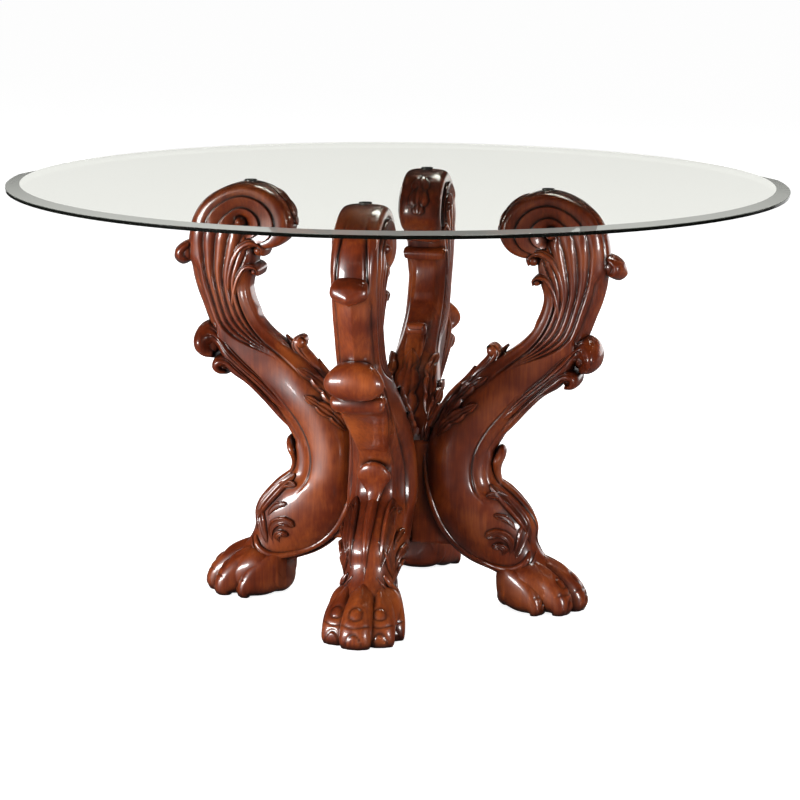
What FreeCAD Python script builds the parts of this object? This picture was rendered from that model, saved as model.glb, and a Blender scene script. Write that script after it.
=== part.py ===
"""Round dining table: a bevelled glass top resting loose on four carved scroll legs.

Each leg is carved from solid timber: an S that rises from a paw foot, leans out and rolls over
into a volute under the glass.  The flat inner edges of the legs are bolted to the four faces of a
hollow square post.  Millimetres, +Z up, origin on the floor on the table's axis.  A leg is
modelled once along +X (X is the distance from the axis, Y is across the leg, Z is height) and
then turned into its four places.
"""

import FreeCAD, Part
import math
import os

import Sketcher
from FreeCAD import Placement, Rotation, Vector

doc = FreeCAD.newDocument("round_table")

# Driving dimensions
sheet = doc.addObject("Spreadsheet::Sheet", "dims")
DIMENSIONS = {
    # whole table
    "table_height": 762,
    "glass_diameter": 1372,
    "glass_thickness": 10,
    "bevel_width": 25,
    "bevel_drop": 4,
    # clear pads between the legs and the glass
    "pad_diameter": 22,
    "pad_thickness": 4,
    "pad_recess": 1.5,
    "pad_stem_diameter": 8,
    "pad_stem_length": 14,
    # leg: reach to its outermost roll, and greatest thickness of the S
    "leg_reach": 404,
    "leg_thickness": 108,
    # volute under the glass
    "volute_thickness": 92,
    "volute_edge_radius": 5,
    "spiral_width": 140,
    "spiral_groove_width": 6,
    "spiral_groove_depth": 5,
    "eye_diameter": 22,
    # leaf that lies along the outer side of the leg and ends in the large roll
    "leaf_thickness": 97,
    # flutes down the flanks of the neck
    "flute_diameter": 15,
    "flute_depth": 4,
    # tongue between the leg and the post, and the bead along the leg's lower edge
    "web_thickness": 58,
    "web_shoulder": 10,
    "bead_diameter": 13,
    "bead_spread": 74,
    "bead_bend_radius": 133,
    "bead_reach": 62,
    # rolled leaf tips across the edges of the leg
    "upper_roll_diameter": 34,
    "upper_roll_length": 78,
    "large_roll_diameter": 70,
    "large_roll_length": 104,
    "lower_roll_diameter": 40,
    "lower_roll_length": 100,
    "shin_roll_diameter": 28,
    "shin_roll_length": 54,
    "inner_roll_diameter": 30,
    "inner_roll_length": 52,
    "curl_roll_diameter": 22,
    "curl_roll_length": 79,
    "small_curl_roll_diameter": 20,
    "small_curl_roll_length": 78,
    # paw foot
    "paw_length": 166,
    "paw_width": 108,
    "paw_height": 80,
    "toe_diameter": 50,
    "toe_arch_radius": 54,
    "toe_nail_diameter": 20,
    "toe_nail_proud": 1,
    # centre post
    "post_width": 64,
    "post_wall": 12,
    "post_base": 112,
    "post_length": 190,
    "cap_thickness": 12,
    "cap_overhang": 3,
    "cap_chamfer": 4,
    "spigot_length": 15,
    # bolts from inside the post into the legs
    "bolt_diameter": 8,
    "bolt_length": 30,
    "bolt_hole_clearance": 0.5,
    "bolt_spacing": 110,
    "bolt_head_width": 13,
    "bolt_head_height": 5.3,
    "washer_diameter": 17,
    "washer_thickness": 1.6,
    "insert_diameter": 12,
    "insert_length": 20,
    # nail-on glides under the paws
    "glide_diameter": 30,
    "glide_thickness": 5,
    "glide_edge": 1.5,
    "glide_recess": 4,
    "nail_diameter": 3,
    "nail_length": 18,
    "nail_point": 4,
    # how far a cutting shape runs past the face that it cuts
    "overrun": 2,
}
for row, (alias, value) in enumerate(DIMENSIONS.items(), start=1):
    sheet.set(f"A{row}", alias)
    sheet.set(f"B{row}", str(value))
    sheet.setAlias(f"B{row}", alias)
doc.recompute()


def size(alias):
    """A driving dimension, read from the sheet."""
    return float(sheet.get(alias))


# Places that follow from the stack of glass, pad, leg and glide
LEG_HEIGHT = size("table_height") - size("glass_thickness") - size("pad_thickness") + size("pad_recess")
PAD_SEAT = LEG_HEIGHT - size("pad_recess")
FLOOR_GAP = size("glide_thickness") - size("glide_recess")
GLIDE_SEAT = size("glide_thickness")
LEG_REACH = size("leg_reach")
OVERRUN = size("overrun")
POST_FACE = size("post_width") / 2
POST_TOP = size("post_base") + size("post_length")
POST_HOLLOW = POST_FACE - size("post_wall")
POST_MIDDLE = size("post_base") + size("post_length") / 2
BOLT_HEIGHTS = {
    "low": POST_MIDDLE - size("bolt_spacing") / 2,
    "high": POST_MIDDLE + size("bolt_spacing") / 2,
}
ACROSS = Vector(0, 1, 0)
UP = Vector(0, 0, 1)

# The four legs, by the way they point
LEG_TURNS = {"right": 0, "rear": 90, "left": 180, "front": 270}

# Shares of the leg's reach and height for the S, from inside the paw up to the volute:
# (outer edge reach, outer edge height, inner edge reach, inner edge height, share of thickness)
STEM_SHARES = (
    (0.755, 0.063, 0.550, 0.029, 0.74),
    (0.713, 0.105, 0.507, 0.059, 0.74),
    (0.663, 0.139, 0.455, 0.087, 0.76),
    (0.634, 0.170, 0.391, 0.107, 0.80),
    (0.636, 0.197, 0.317, 0.132, 0.86),
    (0.619, 0.223, 0.252, 0.157, 0.93),
    (0.574, 0.252, 0.193, 0.194, 0.98),
    (0.520, 0.280, 0.153, 0.236, 1.00),
    (0.475, 0.299, 0.136, 0.282, 1.00),
    (0.455, 0.317, 0.134, 0.334, 1.00),
    (0.450, 0.346, 0.144, 0.393, 0.96),
    (0.460, 0.375, 0.183, 0.446, 0.93),
    (0.488, 0.404, 0.243, 0.501, 0.87),
    (0.532, 0.442, 0.334, 0.547, 0.81),
    (0.594, 0.482, 0.403, 0.585, 0.77),
    (0.663, 0.524, 0.483, 0.616, 0.74),
    (0.733, 0.556, 0.559, 0.647, 0.72),
    (0.787, 0.592, 0.609, 0.676, 0.70),
    (0.829, 0.632, 0.639, 0.704, 0.70),
    (0.859, 0.668, 0.656, 0.729, 0.70),
    (0.886, 0.708, 0.663, 0.752, 0.71),
    (0.911, 0.743, 0.658, 0.771, 0.73),
    (0.931, 0.786, 0.639, 0.797, 0.78),
    (0.936, 0.839, 0.604, 0.834, 0.84),
)
STEM_CORNER_SHARE = 0.36

# Outline of the volute from the neck's outer edge over the top to its inner lobe
VOLUTE_SHARES = (
    (0.933, 0.828),
    (0.923, 0.885),
    (0.871, 0.946),
    (0.787, 0.983),
    (0.663, 1.000),
    (0.550, 0.980),
    (0.470, 0.927),
    (0.470, 0.878),
    (0.525, 0.852),
    (0.619, 0.839),
)
EYE_SHARES = (0.698, 0.904)
SPIRAL_HEIGHT_SHARE = 0.72
SPIRAL_END_SHARE = 0.22
SPIRAL_START_TURNS = -0.03
SPIRAL_TURNS = 1.75
SPIRAL_POINTS_PER_TURN = 16
PAD_REACH = VOLUTE_SHARES[4][0] * LEG_REACH

# The leaf in the same terms, from its tip on the flank up into the large roll
LEAF_SHARES = (
    (0.500, 0.447, 0.448, 0.476, 0.74),
    (0.568, 0.476, 0.497, 0.515, 0.90),
    (0.653, 0.516, 0.574, 0.557, 0.94),
    (0.735, 0.551, 0.650, 0.597, 0.97),
    (0.804, 0.585, 0.724, 0.638, 0.99),
    (0.846, 0.620, 0.795, 0.664, 1.00),
)
LEAF_CORNER_SHARE = 0.30

# Flutes: arcs down the neck's flanks that draw together towards the leaf
FLUTE_SHARES = (
    ((0.700, 0.822), (0.700, 0.752), (0.648, 0.682)),
    ((0.760, 0.818), (0.752, 0.752), (0.684, 0.676)),
    ((0.818, 0.816), (0.804, 0.754), (0.724, 0.672)),
    ((0.874, 0.816), (0.854, 0.756), (0.770, 0.672)),
)
FLUTE_STATION = 20

# Centres of the rolled leaf tips
ROLL_SHARES = {
    "upper_roll": (0.965, 0.839),
    "large_roll": (0.837, 0.621),
    "lower_roll": (0.777, 0.566),
    "shin_roll": (0.480, 0.379),
    "inner_roll": (0.448, 0.613),
    "curl_roll": (0.606, 0.836),
    "small_curl_roll": (0.626, 0.794),
}
# Degrees that turn each barrel's seam to the side that lies inside the timber
ROLL_SEAM_TURNS = {
    "upper_roll": 180,
    "large_roll": 180,
    "lower_roll": 180,
    "shin_roll": 180,
    "inner_roll": 0,
    "curl_roll": -90,
    "small_curl_roll": 0,
}
ROLL_END_SHARE = 0.62

# How far the tongue runs into the S at its foot and at its top
WEB_FOOT_SHARE = 0.330
WEB_HEAD_SHARE = 0.230
BEAD_TOP_SHARE = 0.390
BEAD_TURN_SHARE = 0.301

# The paw's heel, then stations from heel to ball as shares of its length, width and height
HEEL_SHARE = 0.487
PAW_SHARES = (
    (0.00, 0.44, 0.56),
    (0.10, 0.66, 0.84),
    (0.28, 0.92, 0.98),
    (0.48, 1.00, 0.78),
    (0.66, 0.82, 0.50),
    (0.77, 0.52, 0.36),
)
PAW_CORNER_SHARE = 0.40
# Where the toes spring from, as a share of the paw's length, then each toe's splay in degrees,
# its length as a share of the paw's length and its thickness as a share of the largest toe's
TOE_ROOT_SHARE = 0.14
TOE_SHARES = ((0, 0.855, 1.00), (23, 0.768, 0.94), (-23, 0.768, 0.94), (42, 0.624, 0.86), (-42, 0.624, 0.86))
TOE_SWEEP = 125
TOE_NAIL_RISE = 15
GLIDE_SHARE = 0.42
GLIDE_REACH = HEEL_SHARE * LEG_REACH + GLIDE_SHARE * size("paw_length")


def leg_point(shares, across=0.0):
    """A point of the leg from shares of its reach and height."""
    return Vector(shares[0] * LEG_REACH, across, shares[1] * LEG_HEIGHT)


def rounded_rectangle(centre, along, width, depth, corner):
    """A closed wire of width along one way and depth across the leg, with rounded corners."""
    arcs = []
    for quarter, (side, flank) in enumerate(((1, 1), (-1, 1), (-1, -1), (1, -1))):
        middle = centre + along * (side * (width / 2 - corner)) + ACROSS * (flank * (depth / 2 - corner))
        angles = [math.radians(90 * quarter + step) for step in (0, 45, 90)]
        arcs.append([middle + (along * math.cos(a) + ACROSS * math.sin(a)) * corner for a in angles])
    edges = []
    for index, arc in enumerate(arcs):
        edges.append(Part.Arc(*arc).toShape())
        edges.append(Part.LineSegment(arc[2], arcs[(index + 1) % len(arcs)][0]).toShape())
    return Part.Wire(edges)


def plate(face, thickness):
    """A flat outline in the leg's plane, given its thickness evenly to both sides."""
    moved = face.copy()
    moved.translate(ACROSS * (-thickness / 2))
    return moved.extrude(ACROSS * thickness)


def station_loft(rows, full_thickness, corner_share):
    """A loft through rounded stations, each from an outer edge, an inner edge and a thickness."""
    wires = []
    for shares in rows:
        outer = leg_point(shares[0:2])
        inner = leg_point(shares[2:4])
        span = outer - inner
        thickness = shares[4] * full_thickness
        corner = corner_share * min(span.Length, thickness)
        along = span / span.Length
        wires.append(rounded_rectangle((outer + inner) / 2, along, span.Length, thickness, corner))
    return Part.makeLoft(wires, True, False)


def stem():
    """The S of the leg, from inside the paw up to the volute."""
    return station_loft(STEM_SHARES, size("leg_thickness"), STEM_CORNER_SHARE)


def leaf():
    """The leaf along the leg's outer side, which widens from its tip into the large roll."""
    return station_loft(LEAF_SHARES, size("leaf_thickness"), LEAF_CORNER_SHARE)


def flute(shares, flank):
    """A cutter along one flute of the neck: a round bottom let into the flank, and straight walls out of it."""
    neck = STEM_SHARES[FLUTE_STATION][4] * size("leg_thickness")
    width = size("flute_diameter")
    radius = width / 2
    out = ACROSS * flank
    path = Part.Wire(Part.Arc(*[leg_point(pair) for pair in shares]).toShape())
    path.translate(out * (neck / 2 + radius - size("flute_depth")))
    edge = path.Edges[0]
    first = edge.valueAt(edge.FirstParameter)
    last = edge.valueAt(edge.LastParameter)
    beside = edge.tangentAt(edge.FirstParameter).cross(out) * radius
    bowl = Part.Arc(first - beside, first - out * radius, first + beside).toShape()
    corners = [first + beside, first + beside + out * width, first - beside + out * width, first - beside]
    bar = path.makePipe(Part.Face(Part.Wire([bowl] + Part.makePolygon(corners).Edges)))
    ends = [Part.makeSphere(radius, end) for end in (first, last)]
    ends += [Part.makeCylinder(radius, width, end, out) for end in (first, last)]
    return [bar] + ends


def smooth_edge(points):
    """One smooth curve through points."""
    curve = Part.BSplineCurve()
    curve.interpolate(points)
    return curve.toShape()


def spiral_edge(inset):
    """The volute's spiral: a flattened circle whose width shrinks steadily as it turns."""
    eye = leg_point(EYE_SHARES)
    count = int(SPIRAL_TURNS * SPIRAL_POINTS_PER_TURN)
    points = []
    for step in range(count + 1):
        done = step / count
        angle = 2 * math.pi * (SPIRAL_START_TURNS + SPIRAL_TURNS * done)
        radius = size("spiral_width") / 2 * (1 - done * (1 - SPIRAL_END_SHARE)) - inset
        points.append(eye + Vector(
            radius * math.cos(angle), 0, SPIRAL_HEIGHT_SHARE * radius * math.sin(angle)
        ))
    return smooth_edge(points)


def volute():
    """The scroll under the glass: an edge-rounded plate with a spiral groove and a raised eye."""
    rim = smooth_edge([leg_point(shares) for shares in VOLUTE_SHARES])
    close = Part.LineSegment(rim.Vertexes[-1].Point, rim.Vertexes[0].Point).toShape()
    thickness = size("volute_thickness")
    body = plate(Part.Face(Part.Wire([rim, close])), thickness)
    flat_rims = [edge for edge in body.Edges
                 if edge.Curve.TypeId == "Part::GeomBSplineCurve"]
    body = body.makeFillet(size("volute_edge_radius"), flat_rims)
    outer = spiral_edge(0)
    inner = spiral_edge(size("spiral_groove_width"))
    start = Part.LineSegment(inner.Vertexes[0].Point, outer.Vertexes[0].Point).toShape()
    end = Part.LineSegment(outer.Vertexes[-1].Point, inner.Vertexes[-1].Point).toShape()
    groove = Part.Face(Part.Wire([outer, end, inner, start]))
    depth = size("spiral_groove_depth")
    for flank in (1, -1):
        floor = groove.copy()
        floor.translate(ACROSS * (flank * (thickness / 2 - depth)))
        body = body.cut(floor.extrude(ACROSS * (flank * (depth + OVERRUN))))
        boss = Part.makeSphere(size("eye_diameter") / 2, leg_point(EYE_SHARES, flank * thickness / 2))
        body = body.fuse(boss)
    return body


def web():
    """The tongue that carries the leg's flat mounting face against the post."""
    top = POST_TOP - size("web_shoulder")
    corners = [
        Vector(POST_FACE, 0, size("post_base")),
        Vector(WEB_FOOT_SHARE * LEG_REACH, 0, size("post_base")),
        Vector(WEB_HEAD_SHARE * LEG_REACH, 0, top),
        Vector(POST_FACE, 0, top),
    ]
    return plate(Part.Face(Part.makePolygon(corners + corners[:1])), size("web_thickness"))


def bead(flank):
    """A half-round bead down the leg's inner edge and round under its belly to the ankle."""
    reach = size("bead_reach")
    bend = size("bead_bend_radius")
    across = flank * size("bead_spread") / 2
    top = Vector(reach, across, BEAD_TOP_SHARE * LEG_HEIGHT)
    turn_start = Vector(reach, across, BEAD_TURN_SHARE * LEG_HEIGHT)
    centre = turn_start + Vector(bend, 0, 0)
    radius = size("bead_diameter") / 2
    straight = Part.makeCylinder(radius, (top - turn_start).Length, turn_start)
    ring = Part.Face(Part.Wire(Part.makeCircle(radius, turn_start)))
    return [straight, ring.revolve(centre, ACROSS, -90), Part.makeSphere(radius, top)]


def roll(name):
    """A rolled leaf tip: a barrel across the leg, turned from an arc."""
    radius = size(f"{name}_diameter") / 2
    half = size(f"{name}_length") / 2
    end = ROLL_END_SHARE * radius
    arc = Part.Arc(Vector(end, -half, 0), Vector(radius, 0, 0), Vector(end, half, 0)).toShape()
    low = Part.LineSegment(Vector(0, -half, 0), Vector(end, -half, 0)).toShape()
    high = Part.LineSegment(Vector(end, half, 0), Vector(0, half, 0)).toShape()
    axis = Part.LineSegment(Vector(0, half, 0), Vector(0, -half, 0)).toShape()
    barrel = Part.Face(Part.Wire([low, arc, high, axis])).revolve(Vector(0, 0, 0), ACROSS, 360)
    barrel.rotate(Vector(0, 0, 0), ACROSS, ROLL_SEAM_TURNS[name])
    barrel.translate(leg_point(ROLL_SHARES[name]))
    return barrel


def toe(splay, length_share, thickness_share):
    """One toe: a round bar bent over in an arch, with a ball at its tip and a low nail."""
    radius = thickness_share * size("toe_diameter") / 2
    arch = size("toe_arch_radius")
    run = length_share * size("paw_length") - radius
    tip = Vector(run, 0, FLOOR_GAP + radius)
    ring = Part.Face(Part.Wire(Part.makeCircle(radius, tip)))
    bar = ring.revolve(tip - Vector(arch, 0, 0), -ACROSS, TOE_SWEEP)
    ball = Part.makeSphere(radius, tip)
    rise = math.radians(TOE_NAIL_RISE)
    nail = Part.makeCylinder(
        thickness_share * size("toe_nail_diameter") / 2,
        radius + size("toe_nail_proud"),
        tip,
        Vector(math.cos(rise), 0, math.sin(rise)),
    )
    whole = bar.multiFuse([ball, nail])
    whole.rotate(Vector(0, 0, 0), UP, splay)
    whole.translate(Vector(HEEL_SHARE * LEG_REACH + TOE_ROOT_SHARE * size("paw_length"), 0, 0))
    return whole


def paw_body():
    """The paw from heel to ball, under the toes."""
    wires = []
    for length_share, width_share, height_share in PAW_SHARES:
        width = width_share * size("paw_width")
        height = height_share * size("paw_height")
        corner = PAW_CORNER_SHARE * min(width, height)
        reach = HEEL_SHARE * LEG_REACH + length_share * size("paw_length")
        centre = Vector(reach, 0, FLOOR_GAP + height / 2)
        wires.append(rounded_rectangle(centre, UP, height, width, corner))
    return Part.makeLoft(wires, True, False)


def leg_shape():
    """One carved leg along +X, with the holes for its inserts, its pad and its glide."""
    pieces = [volute(), leaf(), web(), paw_body()]
    pieces += bead(1) + bead(-1)
    pieces += [roll(name) for name in ROLL_SHARES]
    pieces += [toe(*shares) for shares in TOE_SHARES]
    blank = stem().multiFuse(pieces)
    half_room = size("paw_width")
    room = Part.makeBox(
        LEG_REACH + half_room, half_room * 2, LEG_HEIGHT - FLOOR_GAP, Vector(POST_FACE, -half_room, FLOOR_GAP)
    )
    blank = blank.common(room)
    pad_seat = Vector(PAD_REACH, 0, PAD_SEAT)
    glide_seat = Vector(GLIDE_REACH, 0, GLIDE_SEAT)
    cuts = [
        Part.makeCylinder(size("pad_diameter") / 2, size("pad_recess") + OVERRUN, pad_seat),
        Part.makeCylinder(size("pad_stem_diameter") / 2, size("pad_stem_length"), pad_seat, -UP),
        Part.makeCylinder(size("glide_diameter") / 2, GLIDE_SEAT, glide_seat, -UP),
        Part.makeCylinder(size("nail_diameter") / 2, size("nail_length"), glide_seat),
    ]
    for shares in FLUTE_SHARES:
        cuts += flute(shares, 1) + flute(shares, -1)
    for height in BOLT_HEIGHTS.values():
        mouth = Vector(POST_FACE - OVERRUN, 0, height)
        cuts.append(Part.makeCylinder(
            size("insert_diameter") / 2, size("insert_length") + OVERRUN, mouth, Vector(1, 0, 0)
        ))
    return blank.cut(cuts).removeSplitter()


def expression_value(holder, expression):
    """What an expression in the sheet's values comes to."""
    return float(holder.evalExpression(expression))


def outline_sketch(body, name, role, corners):
    """A closed straight-sided sketch on one of the body's own planes, corners given as expressions."""
    sketch = body.newObject("Sketcher::SketchObject", name)
    plane = next(item for item in body.Origin.OriginFeatures if item.Role == role)
    sketch.AttachmentSupport = (plane, [""])
    sketch.MapMode = "FlatFace"
    places = [Vector(*[expression_value(sketch, part) for part in corner], 0) for corner in corners]
    count = len(places)
    for index, place in enumerate(places):
        sketch.addGeometry(Part.LineSegment(place, places[(index + 1) % count]))
    for index in range(count):
        sketch.addConstraint(Sketcher.Constraint("Coincident", index, 2, (index + 1) % count, 1))
    for index, corner in enumerate(corners):
        for kind, part in zip(("DistanceX", "DistanceY"), corner):
            value = expression_value(sketch, part)
            number = sketch.addConstraint(Sketcher.Constraint(kind, -1, 1, index, 1, value))
            sketch.setExpression(f"Constraints[{number}]", part)
    return sketch


def turned_body(name, corners):
    """A piece turned about its own Z axis from half its outline."""
    body = doc.addObject("PartDesign::Body", name)
    sketch = outline_sketch(body, f"{name}_outline", "XZ_Plane", corners)
    turning = body.newObject("PartDesign::Revolution", f"{name}_turning")
    turning.Profile = sketch
    turning.ReferenceAxis = (sketch, ["V_Axis"])
    turning.Angle = 360
    doc.recompute()
    return body


def square(half):
    """The corners of a square about the origin, from the expression of half its width."""
    low = f"-({half})"
    return ((low, low), (half, low), (half, half), (low, half))


def pad_up(body, sketch, length, downwards=False):
    """Give a sketch a length along its normal, or the other way."""
    feature = body.newObject("PartDesign::Pad", f"{sketch.Name}_pad")
    feature.Profile = sketch
    feature.setExpression("Length", length)
    feature.Reversed = downwards
    doc.recompute()
    return feature


def leg_place(turn, reach, height):
    """A place at a reach and height on the leg with this turn, standing upright."""
    spin = Rotation(UP, turn)
    return Placement(spin.multVec(Vector(reach, 0, height)), spin)


def bolt_place(turn, reach, height):
    """The same place with the piece's own Z axis pointing outwards along the leg."""
    flat = leg_place(turn, reach, height)
    return Placement(flat.Base, flat.Rotation.multiply(Rotation(ACROSS, 90)))


def glass_top():
    """The loose top: a disc of float glass with a ground bevel round its upper edge."""
    rim = "dims.glass_diameter / 2"
    body = turned_body("glass_top", (
        ("0", "0"),
        (rim, "0"),
        (rim, "dims.glass_thickness - dims.bevel_drop"),
        (f"{rim} - dims.bevel_width", "dims.glass_thickness"),
        ("0", "dims.glass_thickness"),
    ))
    body.setExpression("Placement.Base.z", "dims.table_height - dims.glass_thickness")
    return [body]


def glass_pad(name, turn):
    """A clear button under the glass, its stem pushed into the top of the volute."""
    stem_radius = "dims.pad_stem_diameter / 2"
    body = turned_body(f"glass_pad_{name}", (
        ("0", "-dims.pad_stem_length"),
        (stem_radius, "-dims.pad_stem_length"),
        (stem_radius, "0"),
        ("dims.pad_diameter / 2", "0"),
        ("dims.pad_diameter / 2", "dims.pad_thickness"),
        ("0", "dims.pad_thickness"),
    ))
    body.Placement = leg_place(turn, PAD_REACH, PAD_SEAT)
    return body


def foot_glide(name, turn):
    """A nail-on glide: a disc with an eased lower edge and a pointed nail driven into the paw."""
    rim = "dims.glide_diameter / 2"
    nail = "dims.nail_diameter / 2"
    body = turned_body(f"foot_glide_{name}", (
        ("0", "0"),
        (f"{rim} - dims.glide_edge", "0"),
        (rim, "dims.glide_edge"),
        (rim, "dims.glide_thickness"),
        (nail, "dims.glide_thickness"),
        (nail, "dims.glide_thickness + dims.nail_length - dims.nail_point"),
        ("0", "dims.glide_thickness + dims.nail_length"),
    ))
    body.Placement = leg_place(turn, GLIDE_REACH, 0)
    return body


def ring_body(name, inner, outer, length):
    """A plain ring about its own Z axis."""
    return turned_body(name, ((inner, "0"), (outer, "0"), (outer, length), (inner, length)))


def bolt(name, turn, height):
    """A hexagon-headed bolt put in from inside the post; its shank starts at the head."""
    body = doc.addObject("PartDesign::Body", f"bolt_{name}")
    flat = "dims.bolt_head_width / 2"
    point = "dims.bolt_head_width / sqrt(3)"
    half_point = "dims.bolt_head_width / sqrt(12)"
    hexagon = (
        (point, "0"), (half_point, flat), (f"-{half_point}", flat),
        (f"-{point}", "0"), (f"-{half_point}", f"-{flat}"), (half_point, f"-{flat}"),
    )
    head = outline_sketch(body, f"bolt_{name}_head", "XY_Plane", hexagon)
    pad_up(body, head, "dims.bolt_head_height", downwards=True)
    radius = "dims.bolt_diameter / 2"
    shank = outline_sketch(body, f"bolt_{name}_shank", "XZ_Plane", (
        ("0", "0"), (radius, "0"), (radius, "dims.bolt_length"), ("0", "dims.bolt_length"),
    ))
    turning = body.newObject("PartDesign::Revolution", f"bolt_{name}_turning")
    turning.Profile = shank
    turning.ReferenceAxis = (shank, ["V_Axis"])
    turning.Angle = 360
    doc.recompute()
    body.Placement = bolt_place(turn, POST_HOLLOW - size("washer_thickness"), height)
    return body


def fastenings(name, turn):
    """The two bolts of a leg, each with its washer and the threaded insert in the leg."""
    pieces = []
    for level, height in BOLT_HEIGHTS.items():
        spot = f"{name}_{level}"
        bore = "dims.bolt_diameter / 2"
        washer = ring_body(
            f"washer_{spot}", f"{bore} + dims.bolt_hole_clearance / 2", "dims.washer_diameter / 2",
            "dims.washer_thickness",
        )
        washer.Placement = bolt_place(turn, POST_HOLLOW - size("washer_thickness"), height)
        insert = ring_body(f"insert_{spot}", bore, "dims.insert_diameter / 2", "dims.insert_length")
        insert.Placement = bolt_place(turn, POST_FACE, height)
        pieces += [bolt(spot, turn, height), washer, insert]
    return pieces


def post_block(name, half, base, length):
    """An upright square block about the table's axis."""
    block = doc.addObject("Part::Box", name)
    block.setExpression("Length", f"2 * ({half})")
    block.setExpression("Width", f"2 * ({half})")
    block.setExpression("Height", length)
    block.setExpression("Placement.Base.x", f"-({half})")
    block.setExpression("Placement.Base.y", f"-({half})")
    block.setExpression("Placement.Base.z", base)
    return block


def centre_post():
    """The hollow square post that the legs are bolted to, with its bolt holes."""
    outside = post_block("post_outside", "dims.post_width / 2", "dims.post_base", "dims.post_length")
    hollow = post_block(
        "post_hollow", "dims.post_width / 2 - dims.post_wall",
        "dims.post_base - dims.overrun", "dims.post_length + 2 * dims.overrun",
    )
    cuts = [hollow]
    for level, height in BOLT_HEIGHTS.items():
        for way, turn in (("across", 0), ("along", 90)):
            drill = doc.addObject("Part::Cylinder", f"post_drill_{level}_{way}")
            drill.setExpression("Radius", "(dims.bolt_diameter + dims.bolt_hole_clearance) / 2")
            drill.setExpression("Height", "dims.post_width + 2 * dims.overrun")
            drill.Placement = bolt_place(turn, -POST_FACE - OVERRUN, height)
            cuts.append(drill)
    tools = doc.addObject("Part::MultiFuse", "post_cuts")
    tools.Shapes = cuts
    post = doc.addObject("Part::Cut", "centre_post")
    post.Base = outside
    post.Tool = tools
    return [post]


def post_cap():
    """A chamfered cap that closes the post, its spigot down inside the hollow."""
    body = doc.addObject("PartDesign::Body", "post_cap")
    brim = outline_sketch(body, "cap_brim", "XY_Plane", square("dims.post_width / 2 + dims.cap_overhang"))
    plate_feature = pad_up(body, brim, "dims.cap_thickness")
    top = max(range(len(plate_feature.Shape.Faces)), key=lambda i: plate_feature.Shape.Faces[i].CenterOfMass.z)
    chamfer = body.newObject("PartDesign::Chamfer", "cap_chamfer")
    chamfer.Base = (plate_feature, [f"Face{top + 1}"])
    chamfer.setExpression("Size", "dims.cap_chamfer")
    doc.recompute()
    spigot = outline_sketch(body, "cap_spigot", "XY_Plane", square("dims.post_width / 2 - dims.post_wall"))
    pad_up(body, spigot, "dims.spigot_length", downwards=True)
    body.setExpression("Placement.Base.z", "dims.post_base + dims.post_length")
    return [body]


# The sub-parts that are written out
sub_parts = glass_top() + centre_post() + post_cap()
carved = leg_shape()
for name, turn in LEG_TURNS.items():
    leg = doc.addObject("Part::Feature", f"leg_{name}")
    leg.Shape = carved.Solids[0]
    leg.Placement = leg_place(turn, 0, 0)
    sub_parts += [leg, glass_pad(name, turn), foot_glide(name, turn)] + fastenings(name, turn)
doc.recompute()

# Nothing is written unless every object came out whole
if len(carved.Solids) != 1:
    raise RuntimeError(f"the leg came out as {len(carved.Solids)} solids")
for item in doc.Objects:
    if "Invalid" in item.State or "Error" in item.State:
        raise RuntimeError(f"{item.Name} failed: {item.State}")
for item in sub_parts:
    if item.Shape.isNull() or not item.Shape.isValid() or len(item.Shape.Solids) != 1:
        raise RuntimeError(f"{item.Label} is not one valid solid")

os.makedirs("parts", exist_ok=True)
for item in sub_parts:
    item.Shape.exportStep(f"parts/{item.Label}.step")
    print(item.Label, round(item.Shape.Volume), "mm3")
print(len(sub_parts), "sub-parts, leg faces", len(carved.Faces))
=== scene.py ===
# %% [markdown]
# # A round glass dining table on four carved legs
# A heavy disc of bevelled glass lies loose on four carved scroll legs, which are bolted to a square
# post in the middle and end in paws with five toes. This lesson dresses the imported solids: the hidden
# post, bolts and pads keep their own meshes, and the glass and the legs are modelled again as smooth
# surfaces, in metres, in the same place.

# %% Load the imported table
import math

import bpy
import numpy as np
from mathutils import Matrix, Vector


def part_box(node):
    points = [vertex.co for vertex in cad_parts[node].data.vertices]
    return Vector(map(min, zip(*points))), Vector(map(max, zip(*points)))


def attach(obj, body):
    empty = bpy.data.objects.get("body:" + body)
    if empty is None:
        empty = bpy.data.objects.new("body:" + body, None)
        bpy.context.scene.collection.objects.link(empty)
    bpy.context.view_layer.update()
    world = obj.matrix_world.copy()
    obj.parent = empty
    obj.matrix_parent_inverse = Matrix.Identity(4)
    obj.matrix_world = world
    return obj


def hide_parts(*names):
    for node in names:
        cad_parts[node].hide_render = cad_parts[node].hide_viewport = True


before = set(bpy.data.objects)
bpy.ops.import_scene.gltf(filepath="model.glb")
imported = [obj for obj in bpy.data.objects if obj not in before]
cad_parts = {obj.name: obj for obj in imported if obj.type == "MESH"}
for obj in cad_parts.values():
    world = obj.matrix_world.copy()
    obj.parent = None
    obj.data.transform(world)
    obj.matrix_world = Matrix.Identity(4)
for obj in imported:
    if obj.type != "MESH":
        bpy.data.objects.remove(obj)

scene = bpy.context.scene
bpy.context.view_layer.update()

# %% [markdown]
# ## How a carved leg is described
# A carver draws the leg in side view first: how far each point lies from the middle of the table
# and how high it is. The tables below are such drawings, in millimetres of a full-size pattern.
# The leg could be sculpted by eye, but a drawing can be fitted to the leg's box, so that the surfaces
# land where the solid leg stands.

# %% The pattern and the leg's own size
MM = 0.001
PATTERN_REACH = 407.0
PATTERN_HEIGHT = 763.0
_, leg_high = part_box("leg_right")
REACH_SCALE = leg_high.x / MM / PATTERN_REACH
HEIGHT_SCALE = leg_high.z / MM / PATTERN_HEIGHT
print("leg reach", round(leg_high.x, 4), "leg height", round(leg_high.z, 4))


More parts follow.
